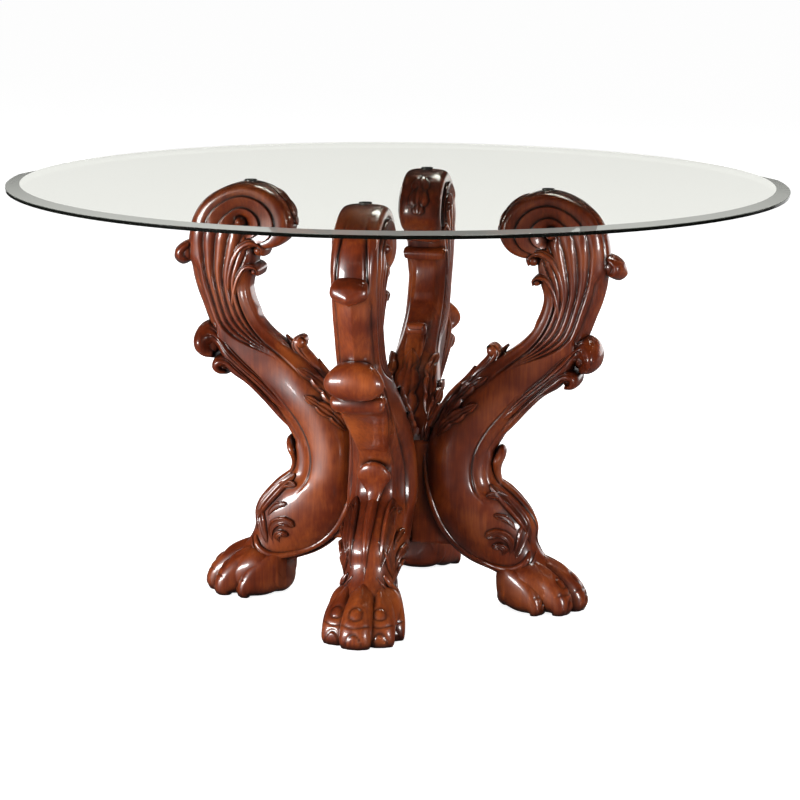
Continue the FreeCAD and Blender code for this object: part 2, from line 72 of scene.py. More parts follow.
# %% Smooth steps, bells and lines
def ramp(value, low, high):
    """A smooth step: 0 below low, 1 above high, and 3t squared less 2t cubed in between."""
    share = np.clip((value - low) / (high - low), 0, 1)
    return share * share * (3 - 2 * share)


def hump(value, rise, top, shoulder, end):
    """A smooth step up from rise to top, times a smooth step down from shoulder to end."""
    return ramp(value, rise, top) * (1 - ramp(value, shoulder, end))


def bell(value, centre, width):
    """A narrow bell: e to the power of minus the square of (value - centre) / width."""
    return np.exp(-(((value - centre) / width) ** 2))


def smooth_rows(rows, count):
    """A smooth line through rows of numbers, and the row number at each of its points.

    Between two rows each number follows the cubic that has the row's values and slopes at both ends.
    """
    rows = np.asarray(rows, float)
    middle = (rows[:, 0:2] + rows[:, 2:4]) / 2
    steps = np.linalg.norm(np.diff(middle, axis=0), axis=1)
    steps = steps + np.linalg.norm(np.diff(rows[:, 0:2], axis=0), axis=1)
    knots = np.concatenate([[0], np.cumsum(steps)])
    slopes = np.gradient(rows, knots, axis=0)
    place = np.linspace(0, knots[-1], count)
    row = np.clip(np.searchsorted(knots, place, side="right") - 1, 0, len(knots) - 2)
    gap = (knots[row + 1] - knots[row])[:, None]
    t = ((place - knots[row]) / gap[:, 0])[:, None]
    line = (2 * t**3 - 3 * t**2 + 1) * rows[row] + (t**3 - 2 * t**2 + t) * gap * slopes[row]
    line = line + (3 * t**2 - 2 * t**3) * rows[row + 1] + (t**3 - t**2) * gap * slopes[row + 1]
    return line, row + t[:, 0]


# %% [markdown]
# ## One surface for every band
# The scroll, its rolled leaves and its toes are all bands: two edges drawn in side view and a
# thickness across. Each could be modelled in its own way, but one function keeps the carving alike.
# A band is a closed tube on a grid. One parameter runs along the band and the other goes round its
# section, which is a superellipse: softer than a plank, squarer than a pipe.
# Carving is added as a lift on the flanks and a push on the outer face, for the whole grid at once.

# %% The section of a band
FINE_STEPS = 4001
FLANK_WEIGHT = 1.5


def section(count, corner):
    """Round a superellipse: across is cos to the power corner, aside is sin to the same power.

    The points are spread evenly by length, with the flanks counted longer than they are.
    """
    turn = np.linspace(0, 2 * np.pi, FINE_STEPS)
    across = np.sign(np.cos(turn)) * np.abs(np.cos(turn)) ** corner
    aside = np.sign(np.sin(turn)) * np.abs(np.sin(turn)) ** corner
    steps = np.hypot(FLANK_WEIGHT * np.diff(across), np.diff(aside))
    length = np.concatenate([[0], np.cumsum(steps)])
    spot = np.arange(count) * length[-1] / count
    return np.interp(spot, length, across), np.interp(spot, length, aside)


# %% A carved band
TINY = 1e-9


def unit(vectors):
    """Vectors brought to length 1: each one over the root of the sum of its squares."""
    return vectors / np.maximum(np.linalg.norm(vectors, axis=-1, keepdims=True), TINY)


def band(rows, count, around, corner, carve=None, soft_corner=0.9):
    """A closed band along the leg's side view: points on a grid, and the dark glaze and painted shade on
    each.

    A row holds the outer edge and the inner edge, each as reach and height, the thickness and, at times,
    how far the section goes from the square corner towards the soft one.
    Point = middle + across * half width + aside * half thickness, plus the carving's lift and push.
    """
    line, station = smooth_rows(rows, count)
    across, aside = section(around, corner)
    across = np.repeat(across[None, :], count, axis=0)
    aside = np.repeat(aside[None, :], count, axis=0)
    if line.shape[1] > 5:
        soft = np.clip(line[:, 5:6], 0, 1)
        soft_across, soft_aside = section(around, soft_corner)
        across = across * (1 - soft) + soft_across[None, :] * soft
        aside = aside * (1 - soft) + soft_aside[None, :] * soft
    middle = (line[:, 0:2] + line[:, 2:4]) / 2
    half = (line[:, 0:2] - line[:, 2:4]) / 2
    lift = push = glaze_and_shade = np.zeros((count, around))
    if carve:
        lift, push, glaze_and_shade = carve(station[:, None], across, aside)
    flat = middle[:, None, :] + half[:, None, :] * across[..., None]
    flat = flat + unit(half)[:, None, :] * push[..., None]
    lateral = line[:, 4:5] / 2 * aside + lift * np.sign(aside)
    points = np.stack([flat[..., 0] * REACH_SCALE, lateral, flat[..., 1] * HEIGHT_SCALE], axis=-1)
    return points * MM, glaze_and_shade


# %% Closing a band into a tube
def tube(points):
    """Points, squares and triangles of a closed tube, facing out.

    A square lies between each four neighbours, and a fan round the middle closes each end.
    """
    count, around = points.shape[:2]
    index = np.arange(count * around).reshape(count, around)
    after = np.roll(index, -1, axis=1)
    squares = np.stack([index[:-1], after[:-1], after[1:], index[1:]], axis=-1).reshape(-1, 4)
    first = count * around
    start = np.stack([np.full(around, first), after[0], index[0]], axis=-1)
    end = np.stack([np.full(around, first + 1), index[-1], after[-1]], axis=-1)
    ends = np.stack([points[0].mean(axis=0), points[-1].mean(axis=0)])
    corners = np.concatenate([points.reshape(-1, 3), ends])
    triangles = np.concatenate([start, end])
    a, b, c, d = (corners[squares[:, k]] for k in range(4))
    volume = np.sum(np.cross(b - a, c - a) * a) + np.sum(np.cross(c - a, d - a) * a)
    if volume < 0:
        squares = squares[:, ::-1]
        triangles = triangles[:, ::-1]
    return corners, squares, triangles


# %% [markdown]
# ## From grids to pieces
# Many small closed tubes make one carved piece. They could be merged into one skin, but that would
# blunt the lines where they meet, so they go into one mesh whole, as arrays. A number at each point
# says how deep the cut is there, and the finish later lays dark glaze and painted shade in the cuts.

# %% Joining tubes
def join(shells):
    """One set of points, cuts, squares and triangles from several (points, cut) grids."""
    corners, squares, triangles, cuts = [], [], [], []
    shift = 0
    for points, cut in shells:
        spots, quads, fans = tube(points)
        corners.append(spots)
        squares.append(quads + shift)
        triangles.append(fans + shift)
        cuts.append(np.concatenate([np.ravel(cut), [0, 0]]))
        shift += len(spots)
    return tuple(np.concatenate(part) for part in (corners, cuts, squares, triangles))


# %% A piece of the table
def new_object(name, data):
    """An object in the scene that shows a mesh, a lamp or a camera."""
    thing = bpy.data.objects.new(name, data)
    scene.collection.objects.link(thing)
    return thing


def new_piece(name, corners, cuts, squares, triangles):
    """A mesh object at the origin from whole arrays, riding on the table."""
    mesh = bpy.data.meshes.new(name)
    mesh.vertices.add(len(corners))
    mesh.vertices.foreach_set("co", corners.astype(np.float32).ravel())
    loops = np.concatenate([squares.ravel(), triangles.ravel()])
    starts = np.concatenate([
        np.arange(len(squares)) * 4, len(squares) * 4 + np.arange(len(triangles)) * 3
    ])
    mesh.loops.add(len(loops))
    mesh.loops.foreach_set("vertex_index", loops.astype(np.int32))
    mesh.polygons.add(len(starts))
    mesh.polygons.foreach_set("loop_start", starts.astype(np.int32))
    mesh.update(calc_edges=True)
    mesh.polygons.foreach_set("use_smooth", np.ones(len(starts), bool))
    # Each point carries how much dark glaze and painted shade the finish lays on it
    depth = mesh.attributes.new("glaze_and_shade", "FLOAT", "POINT")
    depth.data.foreach_set("value", cuts.astype(np.float32))
    piece = new_object(name, mesh)
    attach(piece, "root")
    return piece


# %% The same carving on all four legs
LEG_TURNS = {"right": 0, "rear": 90, "left": 180, "front": 270}


def turned(points, degrees):
    """Points turned about the upright: x cos - y sin, x sin + y cos, and the same height."""
    c, s = math.cos(math.radians(degrees)), math.sin(math.radians(degrees))
    return points @ np.array([[c, s, 0], [-s, c, 0], [0, 0, 1]])


def four_legs(name, shells, material):
    """The same carved tubes on all four legs, each turned about the middle of the table."""
    corners, cuts, squares, triangles = join(shells)
    for side, degrees in LEG_TURNS.items():
        placed = turned(corners, degrees)
        piece = new_piece(f"{name}_{side}", placed, cuts, squares, triangles)
        piece.data.materials.append(material)
        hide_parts(f"leg_{side}")
    print(name, "triangles on each leg", 2 * len(squares) + len(triangles))


# %% [markdown]
# ## The finishes
# The wood is cherry stained red-brown, with a darker glaze wiped into the cuts and a clear lacquer
# over it. Painted shade darkens the cuts too, and the wood near other surfaces and inside hollows.
# A picture of timber could be wrapped round it, but a pattern worked out in space runs
# through all the carved tubes without a seam. Colours are written as the screen shows them and
# turned into light by one function.

# %% Colours and nodes
def colour(code):
    """Light of a screen colour: ((c + 0.055) / 1.055) to the power 2.4, or c / 12.92 near black."""
    parts = np.array([int(code[k:k + 2], 16) for k in (1, 3, 5)]) / 255
    light = np.where(parts <= 0.04045, parts / 12.92, ((parts + 0.055) / 1.055) ** 2.4)
    return (*light.tolist(), 1.0)


def feed(node, inputs):
    """Fills a node's inputs: a socket or a node's first output is linked, a value is written in."""
    for name, value in inputs.items():
        if isinstance(value, bpy.types.Node):
            value = value.outputs[0]
        if isinstance(value, bpy.types.NodeSocket):
            node.id_data.links.new(value, node.inputs[name])
        else:
            node.inputs[name].default_value = value


def add_node(tree, kind, inputs=None, **settings):
    """A new node of a kind such as Math or Bump, with its settings and inputs."""
    node = tree.nodes.new("ShaderNode" + kind)
    for name, value in settings.items():
        setattr(node, name, value)
    feed(node, inputs or {})
    return node


def per_metre(size):
    """The scale of a pattern with marks of a size in millimetres: one over the size in metres."""
    return 1 / (size * MM)


def new_material(name):
    """An empty material, its node tree and its shader."""
    material = bpy.data.materials.new(name)
    material.use_nodes = True
    tree = material.node_tree
    return material, tree, tree.nodes["Principled BSDF"]


# %% Cherry: the grain
# The eye sees fine dark lines along the grain, cloudy stain, dark cuts and a soft shine over it all
GRAIN_WIDTH = 5.25
GRAIN_LENGTH = 87.5
STAIN_CLOUD = 90.0
cherry, tree, shader = new_material("stained_cherry_lacquer")
place = add_node(tree, "TexCoord")
# Grain runs up the leg: fine across, long in height
grain_space = add_node(
    tree, "Mapping", {"Vector": place.outputs["Object"], "Scale": (1, 1, GRAIN_WIDTH / GRAIN_LENGTH)}
)
grain = add_node(
    tree, "TexNoise",
    {"Vector": grain_space, "Scale": per_metre(GRAIN_WIDTH), "Detail": 5.0,
     "Roughness": 0.62, "Distortion": 0.35},
)
# Broad clouds of lighter and darker stain
cloud = add_node(
    tree, "TexNoise",
    {"Vector": place.outputs["Object"], "Scale": per_metre(STAIN_CLOUD), "Detail": 3.0,
     "Roughness": 0.55},
)
print("grain", GRAIN_WIDTH, "mm, clouds", STAIN_CLOUD, "mm")

# %% Cherry: the stain
# The clouds change the shade twice as much as the grain does
SHADE_START = 0.20
GRAIN_SHARE = 0.26
CLOUD_SHARE = 0.52
grain_part = add_node(
    tree, "Math", {0: grain, 1: GRAIN_SHARE, 2: SHADE_START}, operation="MULTIPLY_ADD"
)
mixed = add_node(tree, "Math", {0: cloud, 1: CLOUD_SHARE, 2: grain_part}, operation="MULTIPLY_ADD")
stain = add_node(tree, "ValToRGB", {"Fac": mixed})
stops = stain.color_ramp.elements
stops[0].position = 0.42
stops[0].color = colour("#300B04")
stops[1].position = 0.74
stops[1].color = colour("#9C4A16")
stops.new(0.57).color = colour("#6A270B")
print("shades of stain", len(stops))

# %% Cherry: the glaze and painted shade
# The cuts get dark glaze and painted shade by their depth. Painted shade also darkens the wood where
# another surface is close by and inside wider hollows, as occlusion finds them. The glass would count
# as a close surface too, so that painted shade fades out towards the top of the legs.
CLOSE_BY = 18.0
HOLLOW = 100.0
FADE_LOW = 0.715
FADE_HIGH = 0.742
depth = add_node(tree, "Attribute", attribute_name="glaze_and_shade")
near = add_node(tree, "AmbientOcclusion", {"Distance": CLOSE_BY * MM}, samples=6)
close = add_node(
    tree, "MapRange", {"Value": near.outputs["AO"], "From Min": 0.92, "From Max": 0.42, "To Max": 0.97}
)
axes = add_node(tree, "SeparateXYZ", {"Vector": place.outputs["Object"]})
below = add_node(
    tree, "MapRange",
    {"Value": axes.outputs["Z"], "From Min": FADE_LOW, "From Max": FADE_HIGH, "To Min": 1.0,
     "To Max": 0.25},
)
deep = add_node(tree, "AmbientOcclusion", {"Distance": HOLLOW * MM}, samples=6)
hidden = add_node(
    tree, "MapRange", {"Value": deep.outputs["AO"], "From Min": 0.50, "From Max": 0.12, "To Max": 0.9}
)
dark = add_node(tree, "Math", {0: close, 1: hidden}, operation="MAXIMUM")
kept = add_node(tree, "Math", {0: dark, 1: below}, operation="MULTIPLY")
most = add_node(tree, "Math", {0: depth.outputs["Fac"], 1: kept}, operation="MAXIMUM")
# Painted shade and glaze: the stain is mixed towards near black by the larger of the two
glazed_and_shaded = add_node(tree, "Mix", {"Factor": most, 6: stain, 7: colour("#140502")}, data_type="RGBA")
# Painted shade reaches this far from other surfaces
print("glaze within", CLOSE_BY, "mm")

# %% Cherry: the shine
# Shallow pores follow the grain, and a smooth coat of lacquer lies over them
PORE_DEPTH = 0.6 * MM
pores = add_node(tree, "Bump", {"Height": grain, "Strength": 0.12, "Distance": PORE_DEPTH})
sheen = add_node(
    tree, "MapRange",
    {"Value": cloud, "From Min": 0.3, "From Max": 0.7, "To Min": 0.30, "To Max": 0.42},
)
feed(shader, {
    "Base Color": glazed_and_shaded.outputs[2], "Normal": pores, "Roughness": sheen,
    "Coat Weight": 0.85, "Coat Roughness": 0.09, "Coat IOR": 1.45,
})
print("made", cherry.name)

# %% [markdown]
# ## The scroll and the volute
# The leg is one thick band from the paw up through a double bend, and its top curls round an eye.
# It could be blocked out in small pieces, but on the real leg the ribs of the neck run unbroken
# into the curl, so the whole band is one surface and the ribs are one function along it.

# %% The drawing of the scroll
SCROLL_ROWS = (
    (305, 48, 222, 22, 80, 1), (288, 80, 205, 45, 80, 1), (268, 106, 184, 66, 84, 1),
    (258, 130, 158, 80, 92, 1), (258, 150, 128, 96, 102, 1), (250, 170, 102, 118, 110, 1),
    (232, 192, 78, 148, 114, 1), (210, 214, 62, 180, 114, 1), (192, 228, 55, 215, 112, 0.95),
    (184, 242, 54, 255, 110, 0.9), (182, 264, 58, 300, 106, 0.8), (186, 286, 74, 340, 100, 0.7),
    (197, 308, 98, 382, 94, 0.6), (215, 337, 135, 417, 88, 0.5), (240, 368, 163, 446, 83, 0.4),
    (268, 400, 195, 470, 80, 0.3), (296, 424, 226, 494, 78, 0.2), (318, 452, 246, 516, 76, 0.1),
    (335, 482, 258, 537, 76, 0), (347, 510, 265, 556, 76, 0), (358, 540, 268, 574, 76, 0),
    (368, 567, 266, 588, 77, 0), (376, 600, 258, 608, 79, 0), (378, 640, 254, 642, 82, 0),
    (376, 668, 264, 666, 85, 0), (368, 698, 273, 681, 87, 0), (350, 726, 279, 688, 88, 0),
    (318, 750, 282, 693, 88, 0), (270, 763, 280, 696, 88, 0), (222, 749, 276, 695, 88, 0),
    (190, 710, 272, 691, 88, 0), (187, 680, 271, 686, 87, 0), (203, 657, 272, 681, 84, 0),
    (228, 646, 275, 677, 78, 0), (248, 645, 277, 675, 70, 0),
)
print("rows of the scroll", len(SCROLL_ROWS))


# %% Ribs of the neck and steps of the volute
# Stations are row numbers of the drawing, and depths are in millimetres
RIB_DEPTH = 7.5
STEP_DEPTH = 6.5


def carve_neck(station, q, flank):
    """Ribs up the neck, which turn into steps round the volute, and a sunk band at the inner edge.

    q is 0 at the outer edge and 1 at the inner one. A rib is the size of a sine, so a sharp groove is
    left where the sine is 0. A step falls evenly and then springs back.
    """
    neck = ramp(station, 14.4, 16.6)
    start = 0.06 + 0.50 * (1 - ramp(station, 14.6, 18.6)) + 0.14 * (1 - ramp(station, 20.5, 24.0))
    stop = 0.80 + 0.20 * ramp(station, 21.5, 24.5)
    rings = 5 - 2.0 * ramp(station, 22.5, 27.0)
    rib = np.clip((q - start) / (stop - start), 0, 1)
    inside = (q > start) & (q < stop)
    crest = np.where(inside & (rings * rib > 0.5), np.abs(np.sin(rings * np.pi * rib)), 1)
    ribs = RIB_DEPTH * (crest**0.65 - 1)
    done = np.mod(rings * rib, 1.0)
    steps = np.where(inside, -STEP_DEPTH * done * (1 - ramp(done, 0.93, 1.0)), 0)
    curl = ramp(station, 23.6, 26.0)
    lift = neck * flank * (ribs * (1 - curl) + steps * curl)
    # Dark glaze and painted shade lie in the grooves of the ribs and the steps, and along the sunk
    # band's edge line
    step_cut = inside * hump(done, 0.74, 0.93, 0.95, 1.0)
    glaze_and_shade = neck * flank * ((1 - curl) * (1 - crest) ** 3 + curl * step_cut)
    inner_band = hump(station, 13.0, 15.5, 20.5, 22.0) * flank
    edge_line = bell(q, 0.79, 0.018)
    hollow = np.sin(np.pi * np.clip((q - 0.80) / 0.2, 0, 1))
    return lift - inner_band * (5 * edge_line + 4 * hollow), glaze_and_shade + inner_band * edge_line


# %% Cove and bulge of the lower leg
COVE_DEPTH = 9
BULGE_HEIGHT = 7
GROOVE_DEPTH = 5
GROOVE_PLACE = 0.28


def carve_belly(station, q, flank):
    """A cove along the outer edge and a bulge over the rest, each a half sine, with a groove between."""
    lower = hump(station, 6.5, 8.5, 12.0, 14.8) * flank
    cove = -COVE_DEPTH * np.sin(np.pi * np.clip((q - 0.02) / 0.25, 0, 1)) ** 0.8
    groove = bell(q, GROOVE_PLACE, 0.014)
    bulge = BULGE_HEIGHT * np.sin(np.pi * np.clip((q - GROOVE_PLACE) / 0.66, 0, 1)) ** 0.8
    # The groove gets dark glaze and painted shade
    return lower * (cove - GROOVE_DEPTH * groove + bulge), lower * groove


# %% Flutes of the outer and inner face
def carve_faces(station, across, aside):
    """At the top two flutes with a crown between them, then a ridge, a sunk panel and a hollow back.

    A flute is a bell across the face, and the ridge falls evenly to both sides.
    """
    side = np.abs(aside)
    face = ramp(across, 0.5, 0.85)
    spread = 0.62 - 0.28 * ramp(station, 23.0, 28.0)
    flute = bell(side, spread, 0.06)
    crown = 3.5 * (1 - (aside / spread) ** 2) * (side < spread)
    top_face = hump(station, 22.6, 23.2, 25.4, 27.2) * face
    border = bell(side, 0.76, 0.05)
    roof = hump(station, 17.6, 18.4, 22.0, 22.8) * face
    sunk = hump(station, 10.6, 11.2, 14.8, 15.6) * face
    back = ramp(-across, 0.6, 0.9) * hump(station, 17.0, 17.8, 21.2, 22.0)
    push = top_face * (crown - 5 * flute) - roof * (13 * side + 3 * border)
    push = push - 4 * sunk * ramp(0.80 - side, 0.0, 0.1) - 3 * back * ramp(0.66 - side, 0.0, 0.2)
    # The flutes and the border lines get dark glaze and painted shade
    return push, top_face * flute + 0.6 * roof * border + 0.7 * sunk * border


# %% The scroll
def carve_scroll(station, across, aside):
    """The lift of the neck and the belly, the push of the faces, and the dark glaze and painted shade of
    all three.
    """
    q = (1 - across) / 2
    flank = ramp(np.abs(aside), 0.45, 0.9)
    neck_lift, neck_glaze_and_shade = carve_neck(station, q, flank)
    belly_lift, belly_glaze_and_shade = carve_belly(station, q, flank)
    push, face_glaze_and_shade = carve_faces(station, across, aside)
    return neck_lift + belly_lift, push, np.clip(neck_glaze_and_shade + belly_glaze_and_shade + face_glaze_and_shade, 0, 1)


scroll = band(SCROLL_ROWS, 360, 216, 0.55, carve_scroll)
four_legs("scroll", [scroll], cherry)

# %% [markdown]
# ## Rolled leaves
# Leaves curl over along the scroll: a lip under the volute, a large knop with a small collar below
# it, a bud on the inside, two curls under the volute and a knob on the shin. They could be cut into
# the scroll, but they hang over it, so each is a band with a drawing of its own. Bosses fill the curls.

# %% The knop and its collar
KNOP_ROWS = (
    (184, 347, 189, 341, 60, 0), (204, 377, 218, 358, 80, 0), (235, 410, 254, 389, 90, 0),
    (270, 442, 288, 416, 95, 0), (300, 473, 314, 438, 94, 0.4), (322, 498, 324, 452, 80, 1),
    (344, 509, 329, 460, 80, 1), (361, 500, 332, 463, 94, 1), (371, 478, 333, 464, 103, 1),
    (368, 456, 333, 464, 98, 1), (352, 441, 332, 463, 82, 1), (334, 438, 330, 461, 66, 1),
)
COLLAR_ROWS = (
    (184, 318, 188, 311, 48, 0), (206, 352, 214, 336, 66, 0), (231, 380, 241, 367, 80, 0),
    (261, 410, 271, 397, 90, 0), (285, 434, 297, 413, 94, 0.4), (301, 448, 306, 422, 96, 1),
    (318, 450, 309, 425, 96, 1), (333, 440, 311, 426, 95, 1), (335, 424, 311, 426, 92, 1),
    (322, 412, 310, 425, 86, 1), (307, 411, 308, 424, 76, 1),
)


def carve_leaf(station, across, aside, rim=0.22, second=0.45, depth=5.0):
    """A hooded leaf: a rim along its outer edge, a strand inside that, and a hollow below both.

    While the leaf is open, its flank falls at each of the two lines as a smooth step does.
    """
    q = (1 - across) / 2
    flank = ramp(np.abs(aside), 0.3, 0.8) * ramp(station, 0.3, 2.0)
    open_leaf = 1 - ramp(station, 5.0, 6.5)
    first = bell(q, rim, 0.035) * open_leaf
    next_line = bell(q, second, 0.035) * open_leaf
    fall = 0.55 * ramp(q, rim - 0.06, rim) + 0.75 * ramp(q, second - 0.06, second + 0.02)
    lift = -depth * open_leaf * fall
    lift = lift - 1.5 * (first + next_line) + 1.2 * np.sin(np.pi * np.clip(q / rim, 0, 1))
    # Dark glaze and painted shade lie along the rim and the strand
    return lift * flank, np.zeros_like(lift), 0.8 * flank * np.maximum(first, next_line)


def carve_small_leaf(station, across, aside):
    """The same rim and strand, shallower, on a small leaf."""
    return carve_leaf(station, across, aside, 0.30, 0.62, 3.0)


rolled = [
    band(KNOP_ROWS, 130, 130, 0.72, carve_leaf, soft_corner=1.0),
    band(COLLAR_ROWS, 110, 100, 0.7, carve_small_leaf),
]
print("bands of the knop and collar", len(rolled))

# %% Curls under the volute
UPPER_CURL_ROWS = (
    (312, 560, 296, 556, 70), (310, 600, 288, 594, 80), (302, 636, 276, 622, 86),
    (284, 660, 264, 640, 88), (262, 668, 254, 646, 86), (243, 660, 248, 645, 80),
    (233, 645, 246, 642, 74), (237, 632, 246, 638, 66),
)
SMALL_CURL_ROWS = (
    (304, 532, 288, 530, 68), (300, 568, 282, 564, 77), (291, 600, 272, 590, 82),
    (275, 620, 262, 604, 84), (257, 620, 255, 606, 84), (245, 609, 252, 605, 82),
    (247, 596, 252, 602, 76),
)
rolled += [
    band(UPPER_CURL_ROWS, 80, 80, 0.9, carve_small_leaf),
    band(SMALL_CURL_ROWS, 80, 80, 0.9, carve_small_leaf),
]
print("bands with the curls", len(rolled))

# %% The lip, the bud and the knob
LIP_ROWS = (
    (366, 658, 372, 644, 36), (380, 657, 376, 640, 54), (396, 650, 378, 636, 62),
    (406, 639, 379, 634, 64), (406, 626, 379, 632, 64), (398, 617, 379, 631, 60),
    (386, 614, 378, 630, 50), (374, 618, 375, 629, 32),
)
INNER_ROWS = (
    (150, 418, 134, 430, 30), (172, 438, 151, 450, 38), (188, 455, 163, 464, 42),
    (193, 470, 168, 474, 42), (187, 483, 168, 480, 40), (176, 488, 167, 484, 38),
    (166, 484, 166, 482, 32), (163, 476, 165, 480, 24),
)
KNOB_ROWS = (
    (205, 214, 190, 210, 16), (197, 232, 182, 232, 22), (192, 248, 176, 250, 32),
    (193, 261, 176, 263, 48), (197, 271, 177, 274, 60), (200, 280, 180, 283, 56),
    (201, 289, 184, 291, 44), (199, 297, 187, 298, 28), (195, 301, 190, 301, 10),
)
POINT_DEPTH = 7


def carve_lip(station, across, aside):
    """The lip hangs lower in the middle, as 1 - aside to the power 1.6: its edge has a soft point."""
    point = POINT_DEPTH * (1 - np.abs(aside)) ** 1.6 * ramp(across, 0.0, 0.8)
    point = point * hump(station, 3.0, 4.6, 5.4, 6.6)
    still = np.zeros_like(point)
    return still, point, still


rolled += [
    band(LIP_ROWS, 90, 100, 1.0, carve_lip),
    band(INNER_ROWS, 80, 70, 0.9, carve_small_leaf),
    band(KNOB_ROWS, 60, 60, 0.9),
]
print("bands with the lip, bud and knob", len(rolled))


# %% Bosses in the curls
def boss(reach, height, radius, half_length, count=24, around=36):
    """A boss across the leg: radius * sine, and length * the cosine to the power 0.5, of a half turn."""
    tilt = np.linspace(0.02, np.pi - 0.02, count)[:, None]
    turn = np.linspace(0, 2 * np.pi, around, endpoint=False)[None, :]
    points = np.stack([
        (reach * REACH_SCALE + radius * np.sin(tilt) * np.cos(turn)) * MM,
        half_length * np.sign(np.cos(tilt)) * np.abs(np.cos(tilt)) ** 0.5 * np.ones_like(turn) * MM,
        (height * HEIGHT_SCALE + radius * np.sin(tilt) * np.sin(turn)) * MM,
    ], axis=-1)
    return points, np.zeros((count, around))


# Each boss: reach, height, radius and half its length
BOSSES = (
    (342, 468, 23, 33), (314, 429, 13, 37), (384, 634, 17, 26), (247, 643, 11, 36), (254, 605, 8, 38),
    (279, 692, 12, 47), (177, 474, 13, 20),
)
rolled += [boss(*sizes) for sizes in BOSSES]
four_legs("rolled_leaves", rolled, cherry)

# %% [markdown]
# ## Leaves and beads on the flanks
# Leaves are carved on both flanks: a spray at the ankle, strands up the shin and a spray where the
# legs meet, and a double bead runs round the belly. They could be pressed in as bumps, but their
# edges cast shadows, so each is a small closed surface that is laid on the flank of the scroll.

# %% How far a flank stands out
scroll_grid = scroll[0] / MM
flank_grid = scroll_grid[::3, ::2].reshape(-1, 3)
flank_grid = flank_grid[flank_grid[:, 1] > 0]
print("points on one flank", len(flank_grid))
NEIGHBOURS = 30
SOFTENING = 9.0


def on_flank(reach, height):
    """How far the flank stands out: the nearest points, each by 1 / (distance squared + softening)."""
    flat = np.column_stack([reach * REACH_SCALE, height * HEIGHT_SCALE])
    apart = ((flat[:, None, :] - flank_grid[None, :, [0, 2]]) ** 2).sum(axis=2)
    nearest = np.argpartition(apart, NEIGHBOURS, axis=1)[:, :NEIGHBOURS]
    weight = 1 / (np.take_along_axis(apart, nearest, axis=1) + SOFTENING)
    return (weight * flank_grid[nearest, 1]).sum(axis=1) / weight.sum(axis=1)


# %% The double bead
BEAD_PATH = (
    (64, 332), (60, 300), (62, 250), (70, 210), (83, 172), (101, 138), (123, 113), (150, 95),
    (180, 84), (205, 79), (230, 83), (246, 95), (252, 114),
)
END_SHARE = 0.04


def smooth_path(points, count):
    """A smooth line in side view through points, with its left-hand normal."""
    line = smooth_rows(np.hstack([points, points]), count)[0][:, 0:2]
    along = unit(np.gradient(line, axis=0))
    return line, np.column_stack([-along[:, 1], along[:, 0]])


def string(path, thick, count=150, around=20, aside=0.0, lift=0.0):
    """A round string along the flank: cos and sin of a turn, times a radius that closes at the ends."""
    line, normal = smooth_path(path, count)
    line = line + normal * aside
    stand = on_flank(line[:, 0], line[:, 1]) + lift
    spread = np.ones(9) / 9
    stand = np.convolve(np.pad(stand, 4, mode="edge"), spread, mode="valid")
    centre = np.column_stack([line[:, 0] * REACH_SCALE, stand, line[:, 1] * HEIGHT_SCALE])
    tangent = unit(np.gradient(centre, axis=0))
    first = unit(np.cross(tangent, np.array([0.0, 1.0, 0.0])))
    second = np.cross(first, tangent)
    share = np.linspace(0, 1, count)
    radius = thick / 2 * np.sqrt(np.clip(np.minimum(share, 1 - share) / END_SHARE, 0.0004, 1))
    turn = np.linspace(0, 2 * np.pi, around, endpoint=False)[None, :, None]
    ring = first[:, None, :] * np.cos(turn) + second[:, None, :] * np.sin(turn)
    points = centre[:, None, :] + radius[:, None, None] * ring
    return points * MM, np.zeros((count, around))


flank_work = [string(BEAD_PATH, 12, lift=3.0), string(BEAD_PATH, 5, aside=-10.5, lift=2.5)]
print("strings of the bead", len(flank_work))


# %% The ground that leaves lie on
def running_mean(values, reach):
    """The mean of each row with its neighbours, reach rows to each side; the ends run on straight."""
    widths = ((reach, reach),) + ((0, 0),) * (values.ndim - 1)
    padded = np.pad(values, widths, mode="reflect", reflect_type="odd")
    return sum(padded[k:k + len(values)] for k in range(2 * reach + 1)) / (2 * reach + 1)


# The ground is the scroll with its fine grooves evened out
EVENED = 3
ground = running_mean(scroll_grid, EVENED)
ground = sum(np.roll(ground, k, axis=1) for k in range(-EVENED, EVENED + 1)) / (2 * EVENED + 1)
row_steps = np.gradient(ground, axis=0)
column_steps = (np.roll(ground, -1, axis=1) - np.roll(ground, 1, axis=1)) / 2
ground_normals = unit(np.cross(row_steps, column_steps))
middle_row = len(ground) // 2
from_middle = ground[middle_row] - ground[middle_row].mean(axis=0)
ground_normals = ground_normals * np.sign(np.sum(ground_normals[middle_row] * from_middle))
row_station = smooth_rows(SCROLL_ROWS, len(ground))[1]
print("ground", ground.shape[:2], "rows and columns")


# %% Paths on the ground
def read_grid(field, rows, columns):
    """A field of the scroll's grid between its points: the four neighbours, weighted by nearness."""
    around = field.shape[1]
    low_row = np.clip(np.floor(rows).astype(int), 0, len(field) - 2)
    low_column = np.floor(columns).astype(int)
    a = (rows - low_row)[..., None]
    b = (columns - low_column)[..., None]
    here, beyond = low_column % around, (low_column + 1) % around
    first = field[low_row, here] * (1 - b) + field[low_row, beyond] * b
    second = field[low_row + 1, here] * (1 - b) + field[low_row + 1, beyond] * b
    return first * (1 - a) + second * a


